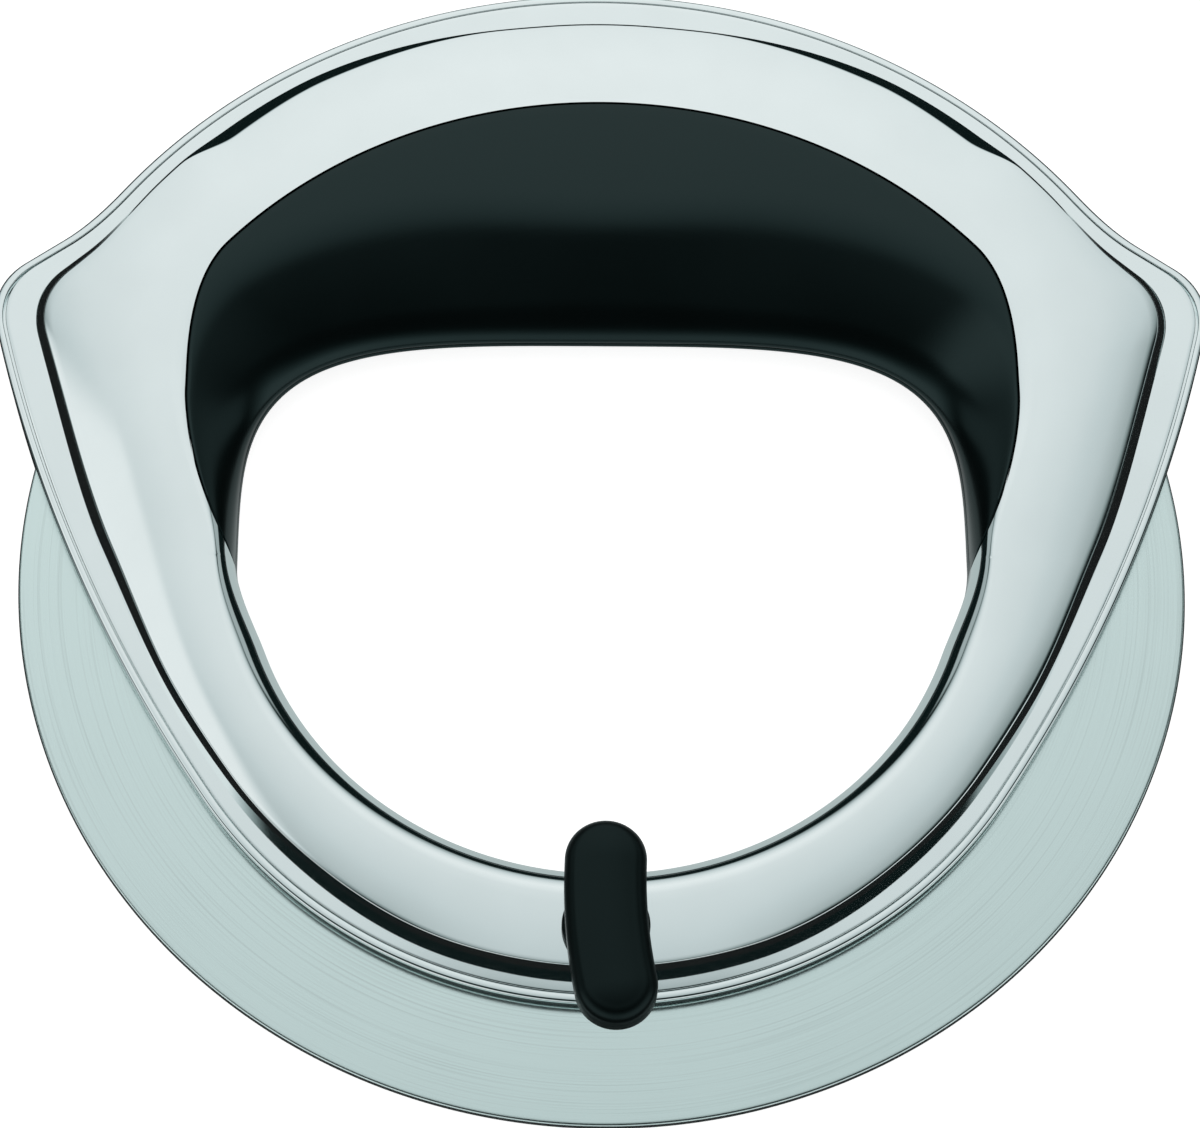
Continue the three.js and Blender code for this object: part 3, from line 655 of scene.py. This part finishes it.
class WHEEL_OT_shells(bpy.types.Operator):
    """Makes the two polished shells, open where the grips go"""

    bl_idname = "wheel.shells"
    bl_label = "Polished shells"

    def execute(self, context):
        wheel = context.scene.pizza_wheel
        steel = finish("Polished stainless steel", make_polished_steel, wheel.colours)
        ends = [wheel.grip.end - GRIP_END_STEP, math.pi - wheel.grip.end + GRIP_END_STEP]
        turns = np.sort(np.append(ring_turns(RING_STEPS), ends))
        sections = [self.section(wheel, turn) for turn in turns]
        for half, side in HALF_SIDES.items():
            shell = loft(f"{half}_polished_shell", turns, sections, side, sharp_angle=30)
            place(shell, steel, "housing", "polished_steel", f"{half}_shell")
        return {"FINISHED"}

    def section(self, wheel, turn):
        """Upper side from the flange to the opening or to the grip, and back along the inner side."""
        crown = wheel.crown
        small = wheel.outline.lip_round / 4
        edge = outline(wheel, turn, wheel.outline.lip_width + wheel.outline.seat_gap)
        inner = opening(wheel, turn)
        gripped = fold(turn) > wheel.grip.end - GRIP_END_STEP / 2
        joint = grip_line(wheel, turn)
        fade = smooth_step(0, wheel.grip.gap_fade, joint - inner)
        stop = joint + wheel.grip.gap * fade if gripped else 0.0
        skin = list(zip(*crown_line(wheel, turn, 0.0, stop)))
        liner = list(zip(*crown_line(wheel, turn, crown.wall, stop)))
        skin.append(skin[-1] if gripped else (inner, crown.parting))
        liner.append(liner[-1] if gripped else (inner + crown.wall, crown.parting))
        low = crown.flange_top - crown.flange_droop * eased(FLANGE_DROOPS, turn)
        rim = quarter_arc((edge - small, low - small), small, 0)
        foot = skin[0]
        flange = [(edge + (foot[0] - edge) * t, low + (foot[1] - low) * t) for t in FLANGE_SUPPORTS]
        return rim + flange + skin + liner[::-1] + [(edge, crown.flange_top - crown.wall)]


class WHEEL_OT_grips(bpy.types.Operator):
    """Makes the two black grip halves"""

    bl_idname = "wheel.grips"
    bl_label = "Grip halves"

    def execute(self, context):
        wheel = context.scene.pizza_wheel
        name = "Moulded black grip ABS"
        base = tuple(wheel.colours.grip_plastic)
        plastic = finish(
            name, make_black_plastic, name, base,
            gloss=0.42, rough_low=0.2, rough_high=0.24, grain_size=0.3 * MM,
        )
        turns = np.linspace(wheel.grip.end, math.pi - wheel.grip.end, GRIP_STEPS)
        sections = [self.section(wheel, turn) for turn in turns]
        for half, side in HALF_SIDES.items():
            grip = loft(f"{half}_grip_half", turns, sections, side, ring=False)
            place(grip, plastic, "housing", "black_grip", f"{half}_grip")
        return {"FINISHED"}

    def section(self, wheel, turn):
        """Underside with a ledge for the frame plate, joint edge, slope and rounding at the parting."""
        crown = wheel.crown
        inner = opening(wheel, turn)
        outer = max(grip_line(wheel, turn), inner + THINNEST_GRIP)
        radii, heights = crown_line(wheel, turn, round_points=FINE_ROUND_POINTS)
        small = min(wheel.grip.edge, (outer - inner) / 3)
        spread = 1 - np.cos(np.linspace(math.pi / 2, 0, GRIP_POINTS))
        across = inner + (outer - small - inner) * spread
        levels = np.interp(across, radii[::-1], heights[::-1])
        joint = float(np.interp(outer - small, radii[::-1], heights[::-1]))
        ledge = min(plate_edge(wheel, turn) - wheel.grip.edge, outer)
        floor = min(crown.plate_top + wheel.outline.seat_gap, joint - small)
        section = [(inner + small, crown.parting), (ledge, crown.parting), (ledge, floor), (outer, floor)]
        section += quarter_arc((outer - small, joint - small), small, 0)
        section += list(zip(across[1:], levels[1:]))
        section += quarter_arc((inner + small, crown.parting + small), small, math.pi)[:-1]
        return section


class WHEEL_OT_lever(bpy.types.Operator):
    """Makes the lock lever and the collar under it"""

    bl_idname = "wheel.lever"
    bl_label = "Lock lever"

    def execute(self, context):
        wheel = context.scene.pizza_wheel
        name = "Moulded black lever ABS"
        base = tuple(wheel.colours.lever_plastic)
        plastic = finish(
            name, make_black_plastic, name, base,
            gloss=0.26, rough_low=0.3, rough_high=0.36, grain_size=0.25 * MM,
        )
        lever = self.make_lever(wheel)
        # The brushed blade shows no image of the lever
        lever.visible_glossy = False
        place(lever, plastic, "lock", "black_lever", "lock_lever")
        place(self.make_collar(wheel), plastic, "housing", "black_lever", "lever_collar")
        return {"FINISHED"}

    def make_lever(self, wheel):
        """Bent bar with round ends, built up in rings from its underside to its middle line."""
        s = wheel.lever
        half = s.width / 2
        top = s.base + s.thickness
        rings = [
            (half / 2, s.base),
            (s.foot, s.base),
            (s.foot_bend, s.base + s.foot_bend),
            (0, s.base + s.foot),
        ]
        for t in np.linspace(0, math.pi / 2, LEVER_EDGE_RINGS):
            inset = s.bevel * (1 - math.cos(t))
            rings.append((inset, top - s.pillow - s.bevel_drop * (1 - math.sin(t))))
        for share in np.linspace(0, 1, LEVER_TOP_RINGS)[1:]:
            inset = s.bevel + (half - s.bevel) * share
            rings.append((inset, top - s.pillow * (1 - share) ** 2))
        boundary = self.boundary(s)
        points = []
        for inset, height in rings:
            points += [(*(spine + out * (half - inset)), height) for spine, out in boundary]
        count = len(boundary)
        faces = [tuple(range(count))[::-1]]
        faces += [(a, d, c, b) for a, b, c, d in grid_faces(len(rings), count, ring=False)]
        return finish_mesh("lock_lever_bar", points, faces, sharp_angle=50)

    def boundary(self, s):
        """Points of the lever's middle line with the directions out to its edge, once round."""
        low = -((s.length - s.width) / 2 + s.shift) / s.bend
        high = ((s.length - s.width) / 2 - s.shift) / s.bend
        turned = Matrix.Rotation(s.tilt, 2)
        pivot = Vector((0, -s.pivot))
        round_end = np.linspace(0, math.pi, LEVER_END_POINTS)[1:-1]

        def spine(t):
            return pivot + turned @ Vector((s.bend * (1 - math.cos(t)), s.bend * math.sin(t)))

        def out(t):
            return turned @ Vector((math.cos(t), math.sin(t)))

        points = [(spine(t), out(-t)) for t in np.linspace(low, high, LEVER_SIDE_POINTS)]
        points += [(spine(high), out(t - high)) for t in round_end]
        points += [(spine(t), out(math.pi - t)) for t in np.linspace(high, low, LEVER_SIDE_POINTS)]
        points += [(spine(low), out(math.pi - low + t)) for t in round_end]
        return points

    def make_collar(self, wheel):
        """Round collar whose underside follows the crown."""
        s = wheel.lever
        bore = s.collar_radius / 2
        shoulder = s.collar_top - s.collar_round
        section = [(bore, None), (s.collar_radius, None), (s.collar_radius, shoulder)]
        section += quarter_arc((s.collar_radius - s.collar_round, shoulder), s.collar_round, 0)
        section.append((bore, s.collar_top))
        points = []
        for t in ring_turns(COLLAR_STEPS):
            for radius, height in section:
                x = radius * math.cos(t)
                y = radius * math.sin(t) - s.pivot
                if height is None:
                    height = crown_height(wheel, x, y) + COLLAR_CLEARANCE
                points.append((x, y, height))
        faces = grid_faces(COLLAR_STEPS, len(section))
        return finish_mesh("lever_collar_ring", points, faces, sharp_angle=50)


class WHEEL_OT_inner_parts(bpy.types.Operator):
    """Finishes the fasteners, rings and fittings inside the housing"""

    bl_idname = "wheel.inner_parts"
    bl_label = "Inner parts"

    def execute(self, context):
        colours = context.scene.pizza_wheel.colours
        materials = {
            "plain_steel": finish("Plain stainless steel", make_plain_steel, colours),
            "natural_acetal": finish("Natural acetal", make_acetal, colours),
        }
        for part in frame["record"]["subparts"]:
            material = materials.get(part["material_slot"])
            if material:
                node = frame["nodes"][part["node"]]
                node.data.materials.clear()
                node.data.materials.append(material)
        return {"FINISHED"}


# Studio: levels are shares of white, and lamps are limits on the unit direction of a reflection

FLOOR_REACH = 3.0
FLOOR_GLOW = 0.8
# Painted reflection of the table: glow levels under the opening and behind the wheel, seen only by reflected
# rays
OPENING_GLOW = {"From Min": 44 * MM, "From Max": 52 * MM, "To Min": 0.55, "To Max": 0.012}
BACK_GLOW = {"From Min": 85 * MM, "To Max": 0.7}
BACK_GLOW_END = {"From Min": 66 * MM, "From Max": 80 * MM, "To Min": 150 * MM, "To Max": 400 * MM}
FILL_LEVEL = 0.55
SOFTBOX_CENTRE = (0, 0.54, 0)
SOFTBOX_RADIUS = 0.46
SOFTBOX_GLOW = ((0, 0.9), (0.175, 0.88), (0.3, 0.81), (0.4, 0.68), (0.485, 0.34), (0.52, 0), (1, 0))
SOFTBOX_SLOPE = {"From Min": 0.1, "From Max": 0.7, "To Min": 0.81, "To Max": 1.08}
SOFTBOX_LOW_EDGE = {"From Min": 0.26, "From Max": 0.32}
PANEL_SIDE = {"From Min": 0.46, "From Max": 0.5, "To Max": 0.45}
WALL_LEVEL = {"From Min": 0.1, "From Max": 0.35, "To Min": 0.7, "To Max": 0.9}
WALL_LOW_EDGE = {"From Min": 0.1, "From Max": 0.16}
WALL_HIGH_EDGE = {"From Min": 0.86, "From Max": 0.62}
STRIP_LEVEL = 0.93
TENT_CAST = ((0, (0.004, 0.009, 0.009)), (0.3, (0.25, 0.3, 0.3)), (0.7, (0.65, 0.7, 0.71)), (1, 1))


class WHEEL_OT_stage(bpy.types.Operator):
    """Sets up the floor, the light tent and the camera"""

    bl_idname = "wheel.stage"
    bl_label = "Studio"

    def execute(self, context):
        scene = context.scene
        scene.view_settings.view_transform = "Standard"
        self.make_floor(scene)
        self.make_tent(scene)
        self.make_camera(scene)
        return {"FINISHED"}

    def make_floor(self, scene):
        mesh = bpy.data.meshes.new("studio_floor")
        corners = [(x * FLOOR_REACH, y * FLOOR_REACH, 0) for x, y in ((-1, -1), (1, -1), (1, 1), (-1, 1))]
        mesh.from_pydata(corners, [], [(0, 1, 2, 3)])
        mesh.materials.append(self.make_table_top())
        floor = bpy.data.objects.new("studio_floor", mesh)
        scene.collection.objects.link(floor)

    def make_table_top(self):
        """White laminate. In reflections it shows painted light and shade: it glows pale under the opening
        and behind the wheel, and is near black elsewhere.
        """
        material = bpy.data.materials.new("White table top")
        material.use_nodes = True
        tree = material.node_tree
        tree.nodes.clear()
        diffuse = add(tree, "ShaderNodeBsdfDiffuse", {"Color": TABLE_WHITE})
        glow = add(tree, "ShaderNodeEmission", {"Color": WHITE, "Strength": FLOOR_GLOW})
        plain = add(tree, "ShaderNodeAddShader", {0: diffuse, 1: glow})
        # Painted light and shade for reflected rays: the table glows pale under the opening and behind the
        # wheel, and near black around the housing
        position = add(tree, "ShaderNodeNewGeometry").outputs["Position"]
        axes = add(tree, "ShaderNodeSeparateXYZ", {"Vector": position}).outputs
        far = add(tree, "ShaderNodeVectorMath", {0: position, 1: tuple(MIDDLE)}, operation="DISTANCE")
        hole = add(tree, "ShaderNodeMapRange", {"Value": far.outputs["Value"], **OPENING_GLOW})
        side = add(tree, "ShaderNodeMath", {0: axes["X"]}, operation="ABSOLUTE")
        back_end = add(tree, "ShaderNodeMapRange", {"Value": side, **BACK_GLOW_END})
        behind = add(tree, "ShaderNodeMapRange", {"Value": axes["Y"], "From Max": back_end, **BACK_GLOW})
        level = add(tree, "ShaderNodeMath", {0: hole, 1: behind}, operation="MAXIMUM")
        mirrored = add(tree, "ShaderNodeEmission", {"Color": TABLE_PAINTED_REFLECTION, "Strength": level})
        glossy = add(tree, "ShaderNodeLightPath").outputs["Is Glossy Ray"]
        either = add(tree, "ShaderNodeMixShader", {0: glossy, 1: plain, 2: mirrored})
        add(tree, "ShaderNodeOutputMaterial", {"Surface": either})
        return material

    def make_tent(self, scene):
        """White for the camera, an even fill for diffuse light, and a tent of lamps for reflections."""
        world = bpy.data.worlds.new("Light tent")
        scene.world = world
        world.use_nodes = True
        tree = world.node_tree
        tree.nodes.clear()
        direction = add(tree, "ShaderNodeTexCoord").outputs["Generated"]
        axes = add(tree, "ShaderNodeSeparateXYZ", {"Vector": direction}).outputs
        side = add(tree, "ShaderNodeMath", {0: axes["X"]}, operation="ABSOLUTE")
        towards_back = add(tree, "ShaderNodeMath", {0: axes["Y"], 1: side}, operation="ARCTAN2")
        lit = self.softbox(tree, axes)
        for lamp in (
            self.side_panels(tree, axes, side, towards_back),
            self.front_wall(tree, axes, side, towards_back),
            self.left_strip(tree, axes),
        ):
            lit = add(tree, "ShaderNodeMath", {0: lit, 1: lamp}, operation="MAXIMUM")
        cast = add(tree, "ShaderNodeValToRGB", {"Fac": lit})
        set_ramp(cast, TENT_CAST)
        tent = add(tree, "ShaderNodeBackground", {"Color": cast})
        fill = add(tree, "ShaderNodeBackground", {"Color": WHITE, "Strength": FILL_LEVEL})
        white = add(tree, "ShaderNodeBackground", {"Color": WHITE})
        path = add(tree, "ShaderNodeLightPath").outputs
        rays = {0: path["Is Glossy Ray"], 1: path["Is Transmission Ray"]}
        mirrored = add(tree, "ShaderNodeMath", rays, operation="MAXIMUM")
        inside = add(tree, "ShaderNodeMixShader", {0: mirrored, 1: fill, 2: tent})
        seen = add(tree, "ShaderNodeMixShader", {0: path["Is Camera Ray"], 1: inside, 2: white})
        add(tree, "ShaderNodeOutputWorld", {"Surface": seen})

    def softbox(self, tree, axes):
        """Round lamp overhead behind the wheel, brighter towards the back."""
        spot = add(tree, "ShaderNodeCombineXYZ", {"X": axes["X"], "Y": axes["Y"]})
        far = add(tree, "ShaderNodeVectorMath", {0: spot, 1: SOFTBOX_CENTRE}, operation="DISTANCE")
        widths = {0: far.outputs["Value"], 1: 2 * SOFTBOX_RADIUS}
        share = add(tree, "ShaderNodeMath", widths, operation="DIVIDE")
        glow = add(tree, "ShaderNodeValToRGB", {"Fac": share})
        set_ramp(glow, SOFTBOX_GLOW)
        slope = add(tree, "ShaderNodeMapRange", {"Value": axes["Y"], **SOFTBOX_SLOPE})
        raised = add(tree, "ShaderNodeMapRange", {"Value": axes["Z"], "To Max": slope, **SOFTBOX_LOW_EDGE})
        return add(tree, "ShaderNodeMath", {0: glow, 1: raised}, operation="MULTIPLY")

    def side_panels(self, tree, axes, side, towards_back):
        """Dim panel on each side, a little behind the wheel."""
        level = add(tree, "ShaderNodeMapRange", {"Value": side, **PANEL_SIDE})
        level = self.window(tree, level, axes["Z"], low=0.41, high=0.69, soft=0.02)
        low, high, soft = np.radians((18, 56, 3))
        return self.window(tree, level, towards_back, low, high, soft)

    def front_wall(self, tree, axes, side, towards_back):
        """Wall in front of the wheel, dimmer in its middle, that fades out upwards."""
        level = add(tree, "ShaderNodeMapRange", {"Value": side, **WALL_LEVEL})
        for edge in (WALL_LOW_EDGE, WALL_HIGH_EDGE):
            level = add(tree, "ShaderNodeMapRange", {"Value": axes["Z"], "To Max": level, **edge})
        low, high, soft = np.radians((-120, 2, 10))
        return self.window(tree, level, towards_back, low, high, soft)

    def left_strip(self, tree, axes):
        """Strip of light on the left, behind the wheel."""
        level = self.window(tree, STRIP_LEVEL, axes["X"], low=-0.5, high=-0.19, soft=0.06)
        return self.window(tree, level, axes["Y"], low=0.14, high=0.46, soft=0.05)

    def window(self, tree, level, value, low, high, soft):
        """Keeps a level between two values and lets it fall to 0 over a soft margin at each."""
        for start, end in ((low - soft, low + soft), (high + soft, high - soft)):
            limits = {"From Min": start, "From Max": end, "To Max": level}
            level = add(tree, "ShaderNodeMapRange", {"Value": value, **limits})
        return level

    def make_camera(self, scene):
        """Camera in front of the lever, at the tilt and swing that the photographed blade shows."""
        tilt = math.radians(25.265)
        swing = math.radians(2.56)
        roll = math.radians(-2.5607)
        distance = 472.5 * MM
        focal_length = 110
        sensor_width = 36
        blade_middle_px = 603.15
        frame_width_px = 1200
        back = Vector((-math.sin(tilt) * math.sin(swing), -math.sin(tilt) * math.cos(swing), math.cos(tilt)))
        level = Vector((math.cos(swing), -math.sin(swing), 0))
        upward = back.cross(level)
        right = level * math.cos(roll) - upward * math.sin(roll)
        up = level * math.sin(roll) + upward * math.cos(roll)
        lens = bpy.data.cameras.new("studio_camera")
        lens.lens = focal_length
        lens.sensor_width = sensor_width
        lens.clip_start = 10 * MM
        lens.shift_x = (frame_width_px / 2 - blade_middle_px) / frame_width_px
        camera = bpy.data.objects.new("studio_camera", lens)
        turn = Matrix((right, up, back)).transposed().to_4x4()
        camera.matrix_world = Matrix.Translation(MIDDLE + back * distance) @ turn
        scene.collection.objects.link(camera)
        scene.camera = camera


PIECES = (
    WHEEL_OT_blade,
    WHEEL_OT_frames,
    WHEEL_OT_shells,
    WHEEL_OT_grips,
    WHEEL_OT_lever,
    WHEEL_OT_inner_parts,
    WHEEL_OT_stage,
)


class WHEEL_PT_panel(bpy.types.Panel):
    """Lists the wheel's pieces"""

    bl_idname = "WHEEL_PT_panel"
    bl_label = "Pizza wheel"
    bl_space_type = "VIEW_3D"
    bl_region_type = "UI"
    bl_category = "Pizza wheel"

    def draw(self, context):
        for piece in PIECES:
            self.layout.operator(piece.bl_idname)


CLASSES = (
    BladeSizes,
    OutlineSizes,
    CrownSizes,
    OpeningSizes,
    GripSizes,
    LeverSizes,
    FinishColours,
    WheelSettings,
    *PIECES,
    WHEEL_PT_panel,
)


def register():
    for cls in CLASSES:
        bpy.utils.register_class(cls)
    bpy.types.Scene.pizza_wheel = PointerProperty(type=WheelSettings)


def unregister():
    del bpy.types.Scene.pizza_wheel
    for cls in reversed(CLASSES):
        bpy.utils.unregister_class(cls)


def main():
    register()
    bpy.ops.wheel.blade()
    bpy.ops.wheel.frames()
    bpy.ops.wheel.shells()
    bpy.ops.wheel.grips()
    bpy.ops.wheel.lever()
    bpy.ops.wheel.inner_parts()
    bpy.ops.wheel.stage()


if __name__ == "__main__":
    main()
